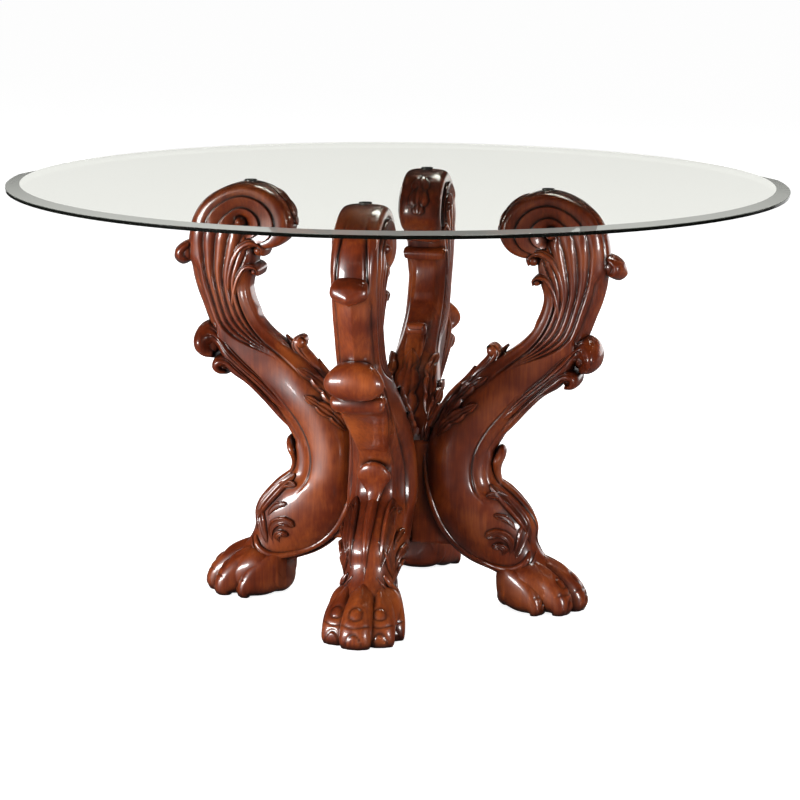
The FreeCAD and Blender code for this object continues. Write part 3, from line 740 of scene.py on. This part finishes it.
def flank_path(spine, count):
    """Rows and columns of the grid under a line of the side view: the nearest points, evened out."""
    line, _ = smooth_path(spine, count)
    flat = line * np.array([REACH_SCALE, HEIGHT_SCALE])
    near_half = np.arange(1, ground.shape[1] // 2)
    flank = ground[:, near_half]
    apart = ((flat[:, None, None, :] - flank[None, :, :, [0, 2]]) ** 2).sum(axis=3)
    rows, columns = np.divmod(apart.reshape(count, -1).argmin(axis=1), len(near_half))
    return running_mean(np.column_stack([rows, near_half[columns]]).astype(float), 6)


def face_path(stations, turn_share, count):
    """Rows and columns of the grid from one station to another, at a share of the way round it."""
    rows = np.interp(np.linspace(*stations, count), row_station, np.arange(len(row_station)))
    return np.column_stack([rows, np.full(count, turn_share * ground.shape[1])])


# %% The directions of a leaf
def leaf_ways(path):
    """Steps along a path and sideways from it, in rows and columns of the grid for a millimetre.

    Sideways is the ground's normal crossed with the direction of the path.
    """
    rows, columns = path.T
    across_row = read_grid(row_steps, rows, columns)
    across_column = read_grid(column_steps, rows, columns)
    along = np.gradient(path, axis=0)
    tangent = across_row * along[:, 0:1] + across_column * along[:, 1:2]
    pace = np.linalg.norm(tangent, axis=1)[:, None]
    aside = np.cross(read_grid(ground_normals, rows, columns), tangent / pace)
    ways = (across_row, across_column)
    sideways = np.column_stack([(aside * way).sum(axis=1) / (way**2).sum(axis=1) for way in ways])
    return along / pace, running_mean(sideways, 4)


# %% The relief of a leaf
# How deep the veins are cut, and how far the underside lies below the ground, in millimetres
VEIN_DEPTH = 1.8
BURIED = 5


def leaf_relief(share, v, bulge, lobes, rise, curl, hollow):
    """Heights of a leaf's two sides, and its dark glaze and painted shade, which lie in veins and hollow
    and on the outline.

    Height = a crown with a rib, or two rims round a hollow, less the veins, plus a curl at the tip.
    """
    side = np.abs(v)
    veined = min(lobes, 1)
    notch = 1 - np.abs(np.sin(np.pi * lobes * (share - 0.08 * side))) ** 0.5
    vein = -VEIN_DEPTH * notch * ramp(side, 0.1, 0.4) * veined
    rib = (1.6 * bell(v, 0, 0.14) - 1.4 * bell(side, 0.3, 0.1)) * veined * (1 - hollow)
    crown = (1 - hollow) * (1 - 0.6 * v**2) + hollow * (0.40 + 0.75 * bell(side, 0.66, 0.2))
    tip_curl = curl * share**3 * (1 - 0.3 * v**2)
    upper = rise * bulge * crown + vein + rib * bulge + tip_curl
    under = (tip_curl + 2.5) * ramp(share, 0.8, 1.0) - BURIED
    cut = -0.5 * (vein + np.minimum(rib, 0)) + 0.5 * hollow * bell(v, 0, 0.3)
    return upper, under, np.clip(np.maximum(cut, 0.8 * ramp(side, 0.8, 1.0)), 0, 1)


# %% A leaf on the ground
def leaf(path, half_width, lobes, rise, curl, widest, hollow, half=18):
    """A lobed leaf along a path on the grid. v runs across it from edge to edge and back underneath.

    Width = sine bulge * (a share + the size of a faster sine), which leaves a notch between lobes.
    """
    share = np.linspace(0, 1, len(path))[:, None]
    v = np.concatenate([np.linspace(-1, 1, half), np.linspace(1, -1, half)[1:-1]])[None, :]
    is_upper = np.concatenate([np.ones(half), np.zeros(half - 2)])[None, :]
    bulge = np.sin(np.pi * np.clip(share, 0.02, 0.996) ** widest) ** 0.6
    wide = half_width * bulge * (0.6 + 0.4 * np.abs(np.sin(np.pi * lobes * share)) ** 0.7)
    along, sideways = leaf_ways(path)
    spot = path[:, None, :] + sideways[:, None, :] * (wide * v)[..., None]
    spot = spot + along[:, None, :] * (0.6 * wide * np.abs(v) ** 1.6)[..., None]
    upper, under, cut = leaf_relief(share, v, bulge, lobes, rise, curl, hollow)
    height = (is_upper * upper + (1 - is_upper) * under)[..., None]
    rows, columns = spot[..., 0], spot[..., 1]
    points = read_grid(ground, rows, columns) + read_grid(ground_normals, rows, columns) * height
    return points * MM, is_upper * cut


# %% The leaves
# Each leaf: its path, half width, lobes, rise, curl of the tip, where it is widest, and hollow
FLANK_LEAVES = (
    (((238, 164), (226, 186), (207, 204), (190, 213), (174, 213)), 13, 1, 6, 4, 2.2, 1),
    (((232, 146), (220, 164), (206, 176), (189, 181)), 10, 1, 6, 3, 2.0, 1),
    (((214, 98), (221, 122), (212, 142), (194, 149), (176, 139)), 12, 1, 6, 3, 2.0, 1),
    (((203, 104), (209, 117), (200, 125), (187, 119)), 8, 1, 7, 2, 1.4, 0.5),
    (((228, 98), (235, 124), (240, 148), (244, 172)), 10, 1, 5, 1, 1.0, 1),
    (((86, 330), (100, 358), (120, 386), (146, 412), (174, 430)), 14, 4, 9, 10, 0.75, 0.6),
    (((84, 322), (104, 346), (130, 366), (158, 384)), 12, 3, 9, 10, 0.75, 0.6),
)
# On a face the path is two stations and a share of the way round
FACE_LEAVES = (
    ((9.4, 13.6), 0.5, 24, 4, 7, 14, 0.75, 0.3), ((10.6, 15.4), 0.5, 17, 3, 6, 10, 0.75, 0.3),
    ((28.7, 30.8), 0.0, 20, 3, 5, 6, 0.75, 0.5), ((2.0, 9.8), 0.0, 16, 0, 8, 0, 1.6, 0),
    ((2.6, 8.4), 0.08, 14, 1, 8, 3, 1.4, 1), ((2.6, 8.4), -0.08, 14, 1, 8, 3, 1.4, 1),
)
LEAF_STEPS = 64
flank_work += [leaf(flank_path(spine, LEAF_STEPS), *shape) for spine, *shape in FLANK_LEAVES]
mirrored = [(points * np.array([1, -1, 1]), cut) for points, cut in flank_work]
face_work = [
    leaf(face_path(stations, share, LEAF_STEPS), *shape) for stations, share, *shape in FACE_LEAVES
]
four_legs("flank_leaves", flank_work + mirrored + face_work, cherry)

# %% [markdown]
# ## The tongue that meets the post
# Each leg has a flat tongue on its inside that is bolted to the square post. It could be cut with every
# bolt hole, but it is hidden from most sides, so it is a plain band with square corners.

# %% The tongue
_, post_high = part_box("centre_post")
POST_FACE = post_high.x / MM / REACH_SCALE
TONGUE_THICK = 58
TONGUE_FRONT = ((150, 116), (110, 150), (90, 210), (92, 260), (106, 305))
tongue_rows = [(reach, height, POST_FACE, height, TONGUE_THICK) for reach, height in TONGUE_FRONT]
four_legs("tongue", [band(tongue_rows, 30, 60, 0.15)], cherry)

# %% [markdown]
# ## The paw
# The foot is a lion's paw: a broad pad, and five toes that run down from the ankle and stand on the
# floor. A tendon shows along the top of each toe, with a ring on its knuckle and a nail at its tip.
# It could be one lump with grooves, but separate toes leave deep, dark creases between them. A toe is
# the same band again, drawn from the side and then turned to its own direction.

# %% The carving of a toe
def carve_toe(station, across, aside):
    """A tendon with a furrow on each side, a ringed knuckle, a crease and a nail.

    The ring and the nail's edge are where a stretched distance from a point on the toe is 1.
    """
    top = ramp(across, 0.3, 0.8)
    side = np.abs(aside)
    tendon = hump(station, 0.8, 1.6, 3.2, 4.2) * top
    push = tendon * (3.0 * bell(aside, 0, 0.2) - 1.8 * bell(side, 0.45, 0.14))
    ring = np.hypot((station - 4.7) / 0.62, aside / 0.42)
    ring_cut = bell(ring, 1, 0.16) * top
    crease = bell(station + 0.9 * side**2, 6.1, 0.10) * top
    nail = np.hypot((station - 8.8) / 2.1, aside / 0.55)
    nail_cut = bell(nail, 1, 0.09) * top
    push = push + top * (1.6 * np.clip(1 - ring**2, 0, 1) + 1.6 * (1 - ramp(nail, 0.85, 1.0)))
    push = push - 1.8 * ring_cut - 1.6 * crease - 1.8 * nail_cut
    # Dark glaze and painted shade lie in the ring, the crease and the nail's edge
    return np.zeros_like(push), push, 0.8 * np.maximum(np.maximum(ring_cut, crease), nail_cut)


# %% The paw
TOE_ROWS = (
    (-14, 88, -10, 34, 22), (14, 104, 16, 14, 42), (46, 99, 44, 5, 51), (78, 86, 68, 2, 55),
    (100, 72, 80, 2, 57), (116, 57, 90, 2, 57), (127, 42, 94, 2, 56), (133, 26, 96, 2, 55),
    (133, 12, 96, 2, 53), (128, 2, 96, 1, 49),
)
# Root's reach and distance aside, splay in degrees, and shares of length and girth
TOES = (
    (222, 0, 0, 0.97, 1.0), (217, 18, 12, 0.85, 0.94), (217, -18, -12, 0.85, 0.94),
    (202, 33, 14, 0.62, 0.84), (202, -33, -14, 0.62, 0.84),
)
PAW_ROWS = (
    (190, 26, 193, 46, 36), (193, 14, 196, 60, 72), (201, 6, 203, 74, 98), (214, 3, 214, 86, 112),
    (232, 2, 232, 95, 122), (254, 2, 254, 97, 126), (276, 2, 278, 82, 122), (298, 2, 300, 56, 106),
    (314, 3, 316, 38, 86), (322, 6, 323, 26, 54),
)


def toe(reach, aside, splay, length, girth):
    """One toe: the band of a toe, scaled, turned about the upright by its splay and set at its root."""
    scale = np.array([length, girth, length, girth, girth])
    points, glaze_and_shade = band(np.array(TOE_ROWS) * scale, 90, 64, 0.8, carve_toe)
    return turned(points, splay) + np.array([reach * REACH_SCALE * MM, aside * MM, 0]), glaze_and_shade


paw = [toe(*shares) for shares in TOES] + [band(PAW_ROWS, 70, 84, 0.8)]
four_legs("paw", paw, cherry)

# %% [markdown]
# ## The glass top
# The top is a loose disc of clear plate glass with a wide polished bevel round its upper edge.
# It could be a cylinder with cut edges, but it is turned: one profile carried round the axis, with the
# sharp edges just broken, so that the bevel catches light in a clean line all the way round.

# %% The glass disc
glass_low, glass_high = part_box("glass_top")
radius = glass_high.x
BEVEL_WIDTH = 0.025
BEVEL_DROP = 0.004
EASE = 0.0006
ROUND_STEPS = 360
base = glass_low.z
face = glass_high.z
shoulder = face - BEVEL_DROP
inner = radius - BEVEL_WIDTH
# Each sharp edge of the profile, and the steps inward and upward that break it
EDGES = (
    (radius, base, ((2, 0), (1, 0), (0.3, 0.3), (0, 1), (0, 2))),
    (radius, shoulder, ((0, -2), (0, -1), (0.4, -0.3), (1, 0.16), (2, 0.32))),
    (inner, face, ((-1, -0.16), (0, -0.04), (1, 0), (3, 0))),
)
broken = [(out - a * EASE, up + b * EASE) for out, up, steps in EDGES for a, b in steps]
profile = np.array([(radius * 0.5, base), *broken, (radius * 0.5, face)])
turn = np.linspace(0, 2 * np.pi, ROUND_STEPS, endpoint=False)
disc = np.stack([
    profile[:, None, 0] * np.cos(turn), profile[:, None, 0] * np.sin(turn),
    np.repeat(profile[:, 1:2], ROUND_STEPS, axis=1),
], axis=-1)
corners, cuts, squares, triangles = join([(disc, np.zeros(disc.shape[:2]))])
top = new_piece("bevelled_glass", corners, cuts, squares, triangles)
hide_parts("glass_top")
print("glass disc triangles", 2 * len(squares) + len(triangles))

# %% Clear plate glass
# Clear float glass with polished faces: the eye sees through it, with a faint grey-green tint.
# Real glass bends light by about 1.5. Here it is nearly 1, so that the top doesn't mirror the lamps.
TINT_DRIFT = 330.0
PLATE_BENDING = 1.01


def drift(tree, size, dark, light):
    """A colour that drifts between two shades over a size in millimetres, by smooth noise in space."""
    place = add_node(tree, "TexCoord")
    noise = add_node(tree, "TexNoise", {"Vector": place.outputs["Object"], "Scale": per_metre(size)})
    shades = add_node(tree, "ValToRGB", {"Fac": noise})
    shades.color_ramp.elements[0].color = colour(dark)
    shades.color_ramp.elements[1].color = colour(light)
    return shades


plate_glass, tree, shader = new_material("clear_plate_glass")
feed(shader, {
    "Base Color": drift(tree, TINT_DRIFT, "#EEEFE9", "#F0F1EB"), "Transmission Weight": 1.0,
    "Roughness": 0.0, "IOR": PLATE_BENDING,
})
top.data.materials.append(plate_glass)
print("made", plate_glass.name)

# %% The bevel and the edge
EDGE_DRIFT = 250.0
INSIDE_TINT = "#F6F7F3"


def edge_glass(name, dark, light, clear, roughness, bending):
    """Glass seen through its edge: the long way through takes most of the light, but not from within. A
    pale colour on the bevel is painted light.
    """
    material, tree, shader = new_material(name)
    facing = add_node(tree, "NewGeometry")
    shade = drift(tree, EDGE_DRIFT, dark, light)
    tint = add_node(
        tree, "Mix",
        {"Factor": facing.outputs["Backfacing"], 6: shade, 7: colour(INSIDE_TINT)}, data_type="RGBA",
    )
    feed(shader, {"Base Color": tint.outputs[2], "Transmission Weight": clear})
    feed(shader, {"Roughness": roughness, "IOR": bending})
    return material


# The polished bevel is painted pale and bright: painted light for the bright floor seen in the glass.
# The ground edge below it is a thin dark green line
top.data.materials.append(edge_glass("polished_bevel_glass", "#E0E2DB", "#E9EBE4", 0.4, 0.03, 1.3))
top.data.materials.append(edge_glass("ground_edge_glass", "#2F322D", "#3A3D37", 0.9, 0.10, 1.1))
middles = np.zeros(len(top.data.polygons) * 3)
top.data.polygons.foreach_get("center", middles)
middles = middles.reshape(-1, 3)
from_axis = np.hypot(middles[:, 0], middles[:, 1])
on_bevel = (from_axis > inner) & (middles[:, 2] > shoulder)
on_edge = (from_axis > radius - 0.8 * EASE) & (middles[:, 2] <= shoulder)
finish_number = np.where(on_edge, 2, np.where(on_bevel, 1, 0)).astype(np.int32)
top.data.polygons.foreach_set("material_index", finish_number)
print("faces on the bevel", int(on_bevel.sum()), "and on the edge", int(on_edge.sum()))

# %% [markdown]
# ## The hidden fittings
# The post, its cap, the bolts, washers, inserts, pads and glides hardly show. They could be modelled
# again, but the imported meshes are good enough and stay. Each gets the finish of its real material.

# %% A finish for the fittings
MARK_DEPTH = 0.3 * MM


def plain_finish(name, dark, light, mark, roughness, metallic=0.0, stretch=(1, 1, 1)):
    """A finish whose colour, gloss and height drift together, with marks of a size in millimetres."""
    material, tree, shader = new_material(name)
    place = add_node(tree, "TexCoord")
    space = add_node(tree, "Mapping", {"Vector": place.outputs["Object"], "Scale": stretch})
    spots = add_node(tree, "TexNoise", {"Vector": space, "Scale": per_metre(mark), "Detail": 4.0})
    shades = add_node(tree, "ValToRGB", {"Fac": spots})
    stops = shades.color_ramp.elements
    stops[0].position = 0.3
    stops[0].color = colour(dark)
    stops[1].position = 0.7
    stops[1].color = colour(light)
    gloss = add_node(
        tree, "MapRange", {"Value": spots, "To Min": 0.8 * roughness, "To Max": 1.2 * roughness}
    )
    bump = add_node(tree, "Bump", {"Height": spots, "Strength": 0.1, "Distance": MARK_DEPTH})
    feed(shader, {"Base Color": shades, "Roughness": gloss, "Normal": bump, "Metallic": metallic})
    return material


# %% Finishes of the fittings
# Planed hardwood under the same stain: dull, with grain lines 6 mm apart that run up the post
post_wood = plain_finish("stained_post_wood", "#3A140B", "#5E2513", 6.25, 0.42, stretch=(1, 1, 0.06))
# Moulded smoke-grey vinyl: a soft shine, and cloudy marks as wide as a pad
smoky_pad = plain_finish("smoky_bumper_vinyl", "#2E2A27", "#443F3B", 11.0, 0.3)
# Moulded brown nylon: dark and dull; its 0.1 mm grit is drawn at 4 mm so that it shows
glide_nylon = plain_finish("moulded_brown_nylon", "#1C1613", "#2B231F", 4.0, 0.5)
# Zinc-plated steel: bright and slightly cloudy; the crystals of 0.2 mm are drawn at 2 mm to show
bolt_steel = plain_finish("zinc_plated_steel", "#8E9091", "#B4B6B6", 2.0, 0.32, metallic=1.0)
# Turned brass: yellow and bright; its 0.2 mm tool marks are drawn at 2.4 mm to show
insert_brass = plain_finish("turned_brass", "#8C6B2E", "#B8934A", 2.4, 0.3, metallic=1.0)
FINISHES = {
    "centre_post": post_wood, "post_cap": post_wood, "glass_pad": smoky_pad, "foot_glide": glide_nylon,
    "bolt": bolt_steel, "washer": bolt_steel, "insert": insert_brass,
}
for name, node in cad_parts.items():
    for start, finish in FINISHES.items():
        if name.startswith(start):
            node.data.materials.clear()
            node.data.materials.append(finish)
print("finished fittings", sum(name.startswith(tuple(FINISHES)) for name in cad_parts))

# %% [markdown]
# ## The floor
# The table stands on plain pale board, as in a studio, with no horizon. Lamps alone could light the
# board, but not evenly, so it also glows by itself: by one amount for the camera, by another through
# the glass, and hardly at all in reflections.

# %% The paint of the floor
# Painted board: flat and nearly white, with broad, very faint mottling
FLOOR_MOTTLE = 167.0
GLOW_SEEN = 0.89
GLOW_THROUGH = 1.01
GLOW_MIRRORED = 0.02
floor_material, tree, shader = new_material("pale_studio_floor")
pale = drift(tree, FLOOR_MOTTLE, "#F4F4F4", "#F6F6F6")
path = add_node(tree, "LightPath")
glossy = path.outputs["Is Glossy Ray"]
dimmed = add_node(tree, "Mix", {"Factor": glossy, 6: pale, 7: colour("#464646")}, data_type="RGBA")
through = add_node(
    tree, "Math", {0: path.outputs["Is Transmission Ray"], 1: GLOW_THROUGH}, operation="MULTIPLY"
)
glow = add_node(tree, "Math", {0: glossy, 1: GLOW_MIRRORED, 2: through}, operation="MULTIPLY_ADD")
lit = add_node(
    tree, "Math", {0: path.outputs["Is Camera Ray"], 1: GLOW_SEEN, 2: glow}, operation="MULTIPLY_ADD"
)
feed(shader, {
    "Base Color": dimmed.outputs[2], "Roughness": 0.9, "Specular IOR Level": 0.0,
    "Emission Strength": lit, "Emission Color": colour("#FFFFFF"),
})
print("made", floor_material.name)


# %% The floor
def studio_board(name, corners, material):
    """A flat board between four corners, which belongs to the studio and not to the table."""
    mesh = bpy.data.meshes.new(name)
    mesh.from_pydata(corners, [], [(0, 1, 2, 3)])
    mesh.materials.append(material)
    board = new_object(name, mesh)
    return board


FLOOR_HALF = 30.0
floor_corners = [(x * FLOOR_HALF, y * FLOOR_HALF, 0) for x, y in ((-1, -1), (1, -1), (1, 1), (-1, 1))]
print("studio board", studio_board("studio_floor", floor_corners, floor_material).name)

# %% [markdown]
# ## The card and the lamps
# Carved edges shine because something bright stands behind them. A lamp could do it, but it would
# whiten the glass too, so a low white card stands there that shows only in reflections.
# Most lamps stand low, because the glass shades the legs from a high one.

# %% A pale card behind the table
# White card: the eye sees only its bright reflection along the carved edges
CARD_HALF_WIDTH = 2.6
CARD_BACK = 3.4
CARD_LOW = 0.03
CARD_HIGH = 0.85
CARD_GLOW = 1.6
card_paper, _, shader = new_material("white_card")
feed(shader, {
    "Base Color": colour("#000000"), "Specular IOR Level": 0.0,
    "Emission Color": colour("#FFFFFF"), "Emission Strength": CARD_GLOW,
})
card_edges = ((-1, CARD_LOW), (1, CARD_LOW), (1, CARD_HIGH), (-1, CARD_HIGH))
card_corners = [(side * CARD_HALF_WIDTH, CARD_BACK, height) for side, height in card_edges]
card = studio_board("white_card", card_corners, card_paper)
for rays in ("camera", "diffuse", "transmission", "shadow"):
    setattr(card, f"visible_{rays}", False)
print("studio board", card.name)

# %% The light of the room
# Full white for the camera, a little light on everything, and almost none in reflections
ROOM_LIGHT = 0.10
ROOM_MIRRORED = 0.01
scene.world = scene.world or bpy.data.worlds.new("studio")
scene.world.use_nodes = True
tree = scene.world.node_tree
path = add_node(tree, "LightPath")
mirror = add_node(
    tree, "Math",
    {0: path.outputs["Is Glossy Ray"], 1: ROOM_MIRRORED - ROOM_LIGHT, 2: ROOM_LIGHT},
    operation="MULTIPLY_ADD",
)
strength = add_node(tree, "Math", {0: path.outputs["Is Camera Ray"], 1: mirror}, operation="MAXIMUM")
feed(tree.nodes["Background"], {"Strength": strength, "Color": colour("#FFFFFF")})
print("room light", ROOM_LIGHT)

# %% The lamps
LAMP_AIM = (0, 0, 0.4)


def soft_lamp(name, at, wide, high, watts):
    """A rectangular lamp that faces the middle of the base."""
    data = bpy.data.lights.new(name, "AREA")
    data.shape = "RECTANGLE"
    data.size = wide
    data.size_y = high
    data.energy = watts
    lamp = new_object(name, data)
    lamp.location = at
    lamp.rotation_euler = (Vector(LAMP_AIM) - Vector(at)).to_track_quat("-Z", "Y").to_euler()
    return lamp


soft_lamp("key_lamp", (-3.0, -3.2, 0.8), 2.4, 0.9, 245)
soft_lamp("fill_lamp", (3.4, -2.6, 0.8), 1.0, 0.8, 75)
soft_lamp("back_lamp", (0.6, 2.6, 4.6), 2.0, 1.2, 120)
# Low lamps behind the table brighten its far side, and stay out of reflections
soft_lamp("rear_right_lamp", (3.0, 2.6, 0.8), 1.0, 0.8, 100).visible_glossy = False
soft_lamp("rear_left_lamp", (-2.8, 2.8, 0.8), 1.0, 0.8, 80).visible_glossy = False
print("lamps", len(bpy.data.lights))

# %% [markdown]
# ## The camera
# The table is seen from a few steps away. A short lens nearby could frame it too, but it would swell
# the near leg, so the lens is long.

# %% Camera
# Angles in degrees: round the table, down, and a slight lean
TURN = 11.53
DROP = 11.35
LEAN = 0.43
data = bpy.data.cameras.new("photo_camera")
data.sensor_width = 36.0
data.lens = 120.26
data.clip_end = 100.0
camera = new_object("photo_camera", data)
camera.location = (0.945, -4.5995, 1.3094)
camera.rotation_euler = (math.radians(90 - DROP), 0, math.radians(TURN))
lean = Matrix.Rotation(math.radians(LEAN), 3, "Z")
camera.rotation_euler = (camera.rotation_euler.to_matrix() @ lean).to_euler()
scene.camera = camera
scene.view_settings.view_transform = "Standard"
print("camera with a lens of", round(data.lens, 2), "mm")
